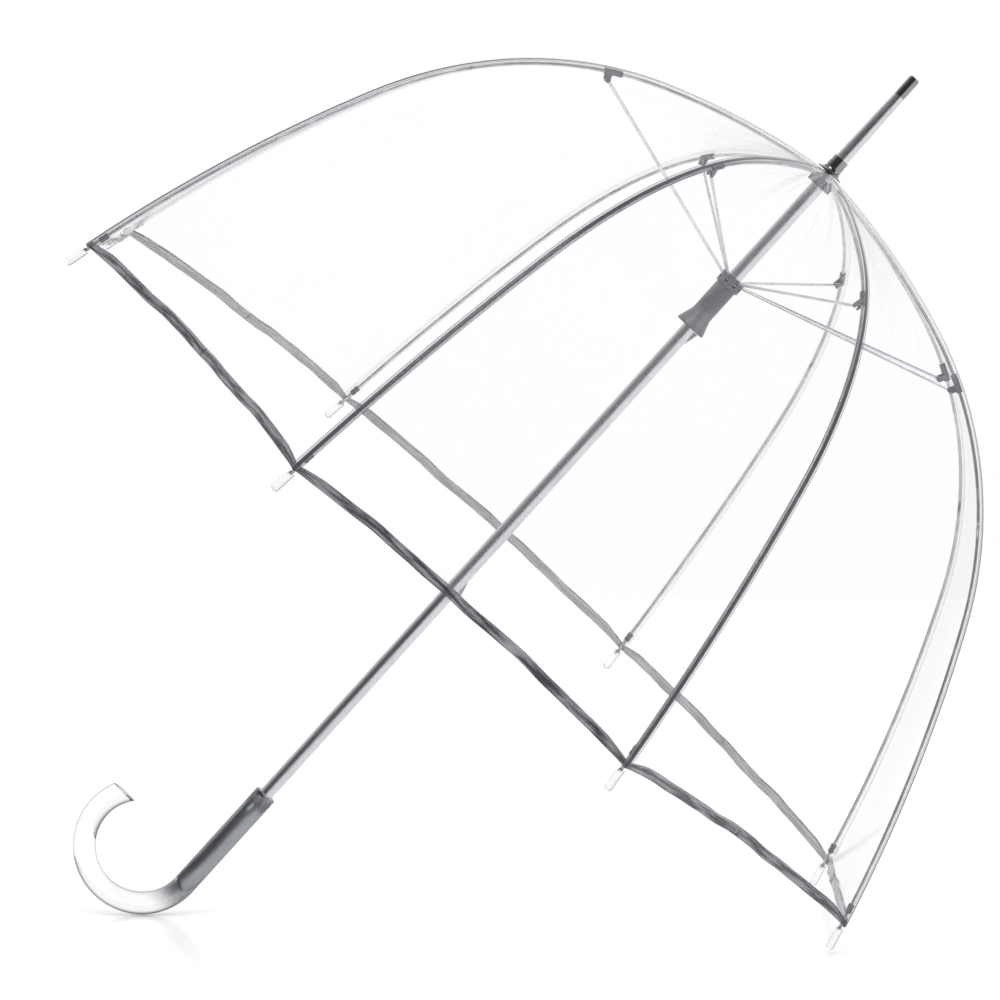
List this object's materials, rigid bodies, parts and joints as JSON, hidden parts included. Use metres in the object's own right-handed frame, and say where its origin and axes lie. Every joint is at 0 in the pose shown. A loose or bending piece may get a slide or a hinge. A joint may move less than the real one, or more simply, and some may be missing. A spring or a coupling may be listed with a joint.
{
  "type": "bubble umbrella",
  "caption": "Clear dome umbrella with a see-through film canopy, steel ribs and stretchers, a sliding runner, a metal shaft and a clear crook handle.",
  "frame": {"origin": "on the shaft's axis at the middle of the handle's straight grip", "axes": "+Z along the shaft from the handle to the ferrule; -X towards the crook's open end side; ribs stand half a panel either side of +X"},
  "size_m": [0.8012, 0.8012, 0.9317],
  "materials": {
    "clear_film": "thin clear flexible film, glossy",
    "smoke_binding": "smoke grey film binding, folded and welded",
    "clear_plastic": "clear moulded plastic",
    "clear_acrylic": "polished clear acrylic",
    "rib_steel": "grey coated spring wire",
    "stretcher_steel": "bright drawn wire, slightly dulled",
    "shaft_steel": "satin silver tube",
    "dark_chrome": "polished dark chrome",
    "dark_plastic": "moulded slate grey plastic",
    "spring_steel": "spring steel, bright"
  },
  "bodies": {
    "shaft": {"shaft_tube": "shaft_steel", "ferrule_collar": "dark_chrome", "ferrule_tube": "shaft_steel", "ferrule_cap": "dark_chrome", "crook_handle": "clear_acrylic", "crown_notch": "dark_plastic", "crown_wire": "spring_steel", "canopy": "clear_film", "hem": "smoke_binding"},
    "rib_1_upper": {"rib_1_upper": "rib_steel", "stretcher_clip_1": "dark_plastic"},
    "rib_1_middle": {"rib_1_middle": "rib_steel"},
    "rib_1_lower": {"rib_1_lower": "rib_steel", "rib_tip_1": "clear_plastic"},
    "stretcher_1": {"stretcher_1": "stretcher_steel"},
    "rib_2_upper": {"rib_2_upper": "rib_steel", "stretcher_clip_2": "dark_plastic"},
    "rib_2_middle": {"rib_2_middle": "rib_steel"},
    "rib_2_lower": {"rib_2_lower": "rib_steel", "rib_tip_2": "clear_plastic"},
    "stretcher_2": {"stretcher_2": "stretcher_steel"},
    "rib_3_upper": {"rib_3_upper": "rib_steel", "stretcher_clip_3": "dark_plastic"},
    "rib_3_middle": {"rib_3_middle": "rib_steel"},
    "rib_3_lower": {"rib_3_lower": "rib_steel", "rib_tip_3": "clear_plastic"},
    "stretcher_3": {"stretcher_3": "stretcher_steel"},
    "rib_4_upper": {"rib_4_upper": "rib_steel", "stretcher_clip_4": "dark_plastic"},
    "rib_4_middle": {"rib_4_middle": "rib_steel"},
    "rib_4_lower": {"rib_4_lower": "rib_steel", "rib_tip_4": "clear_plastic"},
    "stretcher_4": {"stretcher_4": "stretcher_steel"},
    "rib_5_upper": {"rib_5_upper": "rib_steel", "stretcher_clip_5": "dark_plastic"},
    "rib_5_middle": {"rib_5_middle": "rib_steel"},
    "rib_5_lower": {"rib_5_lower": "rib_steel", "rib_tip_5": "clear_plastic"},
    "stretcher_5": {"stretcher_5": "stretcher_steel"},
    "rib_6_upper": {"rib_6_upper": "rib_steel", "stretcher_clip_6": "dark_plastic"},
    "rib_6_middle": {"rib_6_middle": "rib_steel"},
    "rib_6_lower": {"rib_6_lower": "rib_steel", "rib_tip_6": "clear_plastic"},
    "stretcher_6": {"stretcher_6": "stretcher_steel"},
    "rib_7_upper": {"rib_7_upper": "rib_steel", "stretcher_clip_7": "dark_plastic"},
    "rib_7_middle": {"rib_7_middle": "rib_steel"},
    "rib_7_lower": {"rib_7_lower": "rib_steel", "rib_tip_7": "clear_plastic"},
    "stretcher_7": {"stretcher_7": "stretcher_steel"},
    "rib_8_upper": {"rib_8_upper": "rib_steel", "stretcher_clip_8": "dark_plastic"},
    "rib_8_middle": {"rib_8_middle": "rib_steel"},
    "rib_8_lower": {"rib_8_lower": "rib_steel", "rib_tip_8": "clear_plastic"},
    "stretcher_8": {"stretcher_8": "stretcher_steel"},
    "runner": {"runner": "dark_plastic"},
    "open_catch": {"open_catch": "spring_steel"},
    "closed_catch": {"closed_catch": "spring_steel"}
  },
  "joints": [
    {"name": "canopy_fold", "type": "hinge", "parent": "shaft", "child": "rib_1_upper", "pos_m": [0.00785, 0.00325, 0.7143], "axis": [-0.3827, 0.9239, 0], "range_deg": [0, 72.37], "deforming": ["canopy", "hem", "open_catch", "closed_catch"]},
    {"name": "rib_1_knee", "type": "hinge", "parent": "rib_1_upper", "child": "rib_1_middle", "pos_m": [0.1964, 0.08135, 0.66029], "axis": [-0.3827, 0.9239, 0], "range_deg": [-29.42, 0]},
    {"name": "rib_1_skirt", "type": "hinge", "parent": "rib_1_middle", "child": "rib_1_lower", "pos_m": [0.30903, 0.12801, 0.53115], "axis": [-0.3827, 0.9239, 0], "range_deg": [-22.25, 0]},
    {"name": "stretcher_1_pin", "type": "hinge", "parent": "rib_1_upper", "child": "stretcher_1", "pos_m": [0.18234, 0.07553, 0.66145], "axis": [-0.3827, 0.9239, 0], "range_deg": [-144.94, 0]},
    {"name": "rib_2_fold", "type": "hinge", "parent": "shaft", "child": "rib_2_upper", "pos_m": [0.00325, 0.00785, 0.7143], "axis": [-0.9239, 0.3827, 0], "range_deg": [0, 72.57]},
    {"name": "rib_2_knee", "type": "hinge", "parent": "rib_2_upper", "child": "rib_2_middle", "pos_m": [0.08135, 0.1964, 0.66029], "axis": [-0.9239, 0.3827, 0], "range_deg": [-29.42, 0]},
    {"name": "rib_2_skirt", "type": "hinge", "parent": "rib_2_middle", "child": "rib_2_lower", "pos_m": [0.12801, 0.30903, 0.53115], "axis": [-0.9239, 0.3827, 0], "range_deg": [-22.25, 0]},
    {"name": "stretcher_2_pin", "type": "hinge", "parent": "rib_2_upper", "child": "stretcher_2", "pos_m": [0.07553, 0.18234, 0.66145], "axis": [-0.9239, 0.3827, 0], "range_deg": [-144.94, 0]},
    {"name": "rib_3_fold", "type": "hinge", "parent": "shaft", "child": "rib_3_upper", "pos_m": [-0.00325, 0.00785, 0.7143], "axis": [-0.9239, -0.3827, 0], "range_deg": [0, 72.57]},
    {"name": "rib_3_knee", "type": "hinge", "parent": "rib_3_upper", "child": "rib_3_middle", "pos_m": [-0.08135, 0.1964, 0.66029], "axis": [-0.9239, -0.3827, 0], "range_deg": [-29.42, 0]},
    {"name": "rib_3_skirt", "type": "hinge", "parent": "rib_3_middle", "child": "rib_3_lower", "pos_m": [-0.12801, 0.30903, 0.53115], "axis": [-0.9239, -0.3827, 0], "range_deg": [-22.25, 0]},
    {"name": "stretcher_3_pin", "type": "hinge", "parent": "rib_3_upper", "child": "stretcher_3", "pos_m": [-0.07553, 0.18234, 0.66145], "axis": [-0.9239, -0.3827, 0], "range_deg": [-144.94, 0]},
    {"name": "rib_4_fold", "type": "hinge", "parent": "shaft", "child": "rib_4_upper", "pos_m": [-0.00785, 0.00325, 0.7143], "axis": [-0.3827, -0.9239, 0], "range_deg": [0, 72.57]},
    {"name": "rib_4_knee", "type": "hinge", "parent": "rib_4_upper", "child": "rib_4_middle", "pos_m": [-0.1964, 0.08135, 0.66029], "axis": [-0.3827, -0.9239, 0], "range_deg": [-29.42, 0]},
    {"name": "rib_4_skirt", "type": "hinge", "parent": "rib_4_middle", "child": "rib_4_lower", "pos_m": [-0.30903, 0.12801, 0.53115], "axis": [-0.3827, -0.9239, 0], "range_deg": [-22.25, 0]},
    {"name": "stretcher_4_pin", "type": "hinge", "parent": "rib_4_upper", "child": "stretcher_4", "pos_m": [-0.18234, 0.07553, 0.66145], "axis": [-0.3827, -0.9239, 0], "range_deg": [-144.94, 0]},
    {"name": "rib_5_fold", "type": "hinge", "parent": "shaft", "child": "rib_5_upper", "pos_m": [-0.00785, -0.00325, 0.7143], "axis": [0.3827, -0.9239, 0], "range_deg": [0, 72.57]},
    {"name": "rib_5_knee", "type": "hinge", "parent": "rib_5_upper", "child": "rib_5_middle", "pos_m": [-0.1964, -0.08135, 0.66029], "axis": [0.3827, -0.9239, 0], "range_deg": [-29.42, 0]},
    {"name": "rib_5_skirt", "type": "hinge", "parent": "rib_5_middle", "child": "rib_5_lower", "pos_m": [-0.30903, -0.12801, 0.53115], "axis": [0.3827, -0.9239, 0], "range_deg": [-22.25, 0]},
    {"name": "stretcher_5_pin", "type": "hinge", "parent": "rib_5_upper", "child": "stretcher_5", "pos_m": [-0.18234, -0.07553, 0.66145], "axis": [0.3827, -0.9239, 0], "range_deg": [-144.94, 0]},
    {"name": "rib_6_fold", "type": "hinge", "parent": "shaft", "child": "rib_6_upper", "pos_m": [-0.00325, -0.00785, 0.7143], "axis": [0.9239, -0.3827, 0], "range_deg": [0, 72.57]},
    {"name": "rib_6_knee", "type": "hinge", "parent": "rib_6_upper", "child": "rib_6_middle", "pos_m": [-0.08135, -0.1964, 0.66029], "axis": [0.9239, -0.3827, 0], "range_deg": [-29.42, 0]},
    {"name": "rib_6_skirt", "type": "hinge", "parent": "rib_6_middle", "child": "rib_6_lower", "pos_m": [-0.12801, -0.30903, 0.53115], "axis": [0.9239, -0.3827, 0], "range_deg": [-22.25, 0]},
    {"name": "stretcher_6_pin", "type": "hinge", "parent": "rib_6_upper", "child": "stretcher_6", "pos_m": [-0.07553, -0.18234, 0.66145], "axis": [0.9239, -0.3827, 0], "range_deg": [-144.94, 0]},
    {"name": "rib_7_fold", "type": "hinge", "parent": "shaft", "child": "rib_7_upper", "pos_m": [0.00325, -0.00785, 0.7143], "axis": [0.9239, 0.3827, 0], "range_deg": [0, 72.57]},
    {"name": "rib_7_knee", "type": "hinge", "parent": "rib_7_upper", "child": "rib_7_middle", "pos_m": [0.08135, -0.1964, 0.66029], "axis": [0.9239, 0.3827, 0], "range_deg": [-29.42, 0]},
    {"name": "rib_7_skirt", "type": "hinge", "parent": "rib_7_middle", "child": "rib_7_lower", "pos_m": [0.12801, -0.30903, 0.53115], "axis": [0.9239, 0.3827, 0], "range_deg": [-22.25, 0]},
    {"name": "stretcher_7_pin", "type": "hinge", "parent": "rib_7_upper", "child": "stretcher_7", "pos_m": [0.07553, -0.18234, 0.66145], "axis": [0.9239, 0.3827, 0], "range_deg": [-144.94, 0]},
    {"name": "rib_8_fold", "type": "hinge", "parent": "shaft", "child": "rib_8_upper", "pos_m": [0.00785, -0.00325, 0.7143], "axis": [0.3827, 0.9239, 0], "range_deg": [0, 72.57]},
    {"name": "rib_8_knee", "type": "hinge", "parent": "rib_8_upper", "child": "rib_8_middle", "pos_m": [0.1964, -0.08135, 0.66029], "axis": [0.3827, 0.9239, 0], "range_deg": [-29.42, 0]},
    {"name": "rib_8_skirt", "type": "hinge", "parent": "rib_8_middle", "child": "rib_8_lower", "pos_m": [0.30903, -0.12801, 0.53115], "axis": [0.3827, 0.9239, 0], "range_deg": [-22.25, 0]},
    {"name": "stretcher_8_pin", "type": "hinge", "parent": "rib_8_upper", "child": "stretcher_8", "pos_m": [0.18234, -0.07553, 0.66145], "axis": [0.3827, 0.9239, 0], "range_deg": [-144.94, 0]},
    {"name": "runner_travel", "type": "hinge", "parent": "stretcher_1", "child": "runner", "pos_m": [0.00785, 0.00325, 0.60861], "axis": [-0.3827, 0.9239, 0], "range_deg": [0, 72.57]},
    {"name": "open_catch_press", "type": "slide", "parent": "shaft", "child": "open_catch", "axis": [-1, 0, 0], "range_m": [0, 0.0034], "stiffness_N_per_m": 500},
    {"name": "closed_catch_press", "type": "slide", "parent": "shaft", "child": "closed_catch", "axis": [-1, 0, 0], "range_m": [0, 0.0034], "stiffness_N_per_m": 500}
  ],
  "couplings": [
    {"joint": "rib_1_knee", "follows": "canopy_fold", "ratio": -0.40374},
    {"joint": "rib_1_skirt", "follows": "canopy_fold", "ratio": -0.30469},
    {"joint": "stretcher_1_pin", "follows": "canopy_fold", "ratio": -2},
    {"joint": "rib_2_fold", "follows": "canopy_fold", "ratio": 1},
    {"joint": "rib_2_knee", "follows": "canopy_fold", "ratio": -0.40374},
    {"joint": "rib_2_skirt", "follows": "canopy_fold", "ratio": -0.30469},
    {"joint": "stretcher_2_pin", "follows": "canopy_fold", "ratio": -2},
    {"joint": "rib_3_fold", "follows": "canopy_fold", "ratio": 1},
    {"joint": "rib_3_knee", "follows": "canopy_fold", "ratio": -0.40374},
    {"joint": "rib_3_skirt", "follows": "canopy_fold", "ratio": -0.30469},
    {"joint": "stretcher_3_pin", "follows": "canopy_fold", "ratio": -2},
    {"joint": "rib_4_fold", "follows": "canopy_fold", "ratio": 1},
    {"joint": "rib_4_knee", "follows": "canopy_fold", "ratio": -0.40374},
    {"joint": "rib_4_skirt", "follows": "canopy_fold", "ratio": -0.30469},
    {"joint": "stretcher_4_pin", "follows": "canopy_fold", "ratio": -2},
    {"joint": "rib_5_fold", "follows": "canopy_fold", "ratio": 1},
    {"joint": "rib_5_knee", "follows": "canopy_fold", "ratio": -0.40374},
    {"joint": "rib_5_skirt", "follows": "canopy_fold", "ratio": -0.30469},
    {"joint": "stretcher_5_pin", "follows": "canopy_fold", "ratio": -2},
    {"joint": "rib_6_fold", "follows": "canopy_fold", "ratio": 1},
    {"joint": "rib_6_knee", "follows": "canopy_fold", "ratio": -0.40374},
    {"joint": "rib_6_skirt", "follows": "canopy_fold", "ratio": -0.30469},
    {"joint": "stretcher_6_pin", "follows": "canopy_fold", "ratio": -2},
    {"joint": "rib_7_fold", "follows": "canopy_fold", "ratio": 1},
    {"joint": "rib_7_knee", "follows": "canopy_fold", "ratio": -0.40374},
    {"joint": "rib_7_skirt", "follows": "canopy_fold", "ratio": -0.30469},
    {"joint": "stretcher_7_pin", "follows": "canopy_fold", "ratio": -2},
    {"joint": "rib_8_fold", "follows": "canopy_fold", "ratio": 1},
    {"joint": "rib_8_knee", "follows": "canopy_fold", "ratio": -0.40374},
    {"joint": "rib_8_skirt", "follows": "canopy_fold", "ratio": -0.30469},
    {"joint": "stretcher_8_pin", "follows": "canopy_fold", "ratio": -2},
    {"joint": "runner_travel", "follows": "canopy_fold", "ratio": 1}
  ]
}
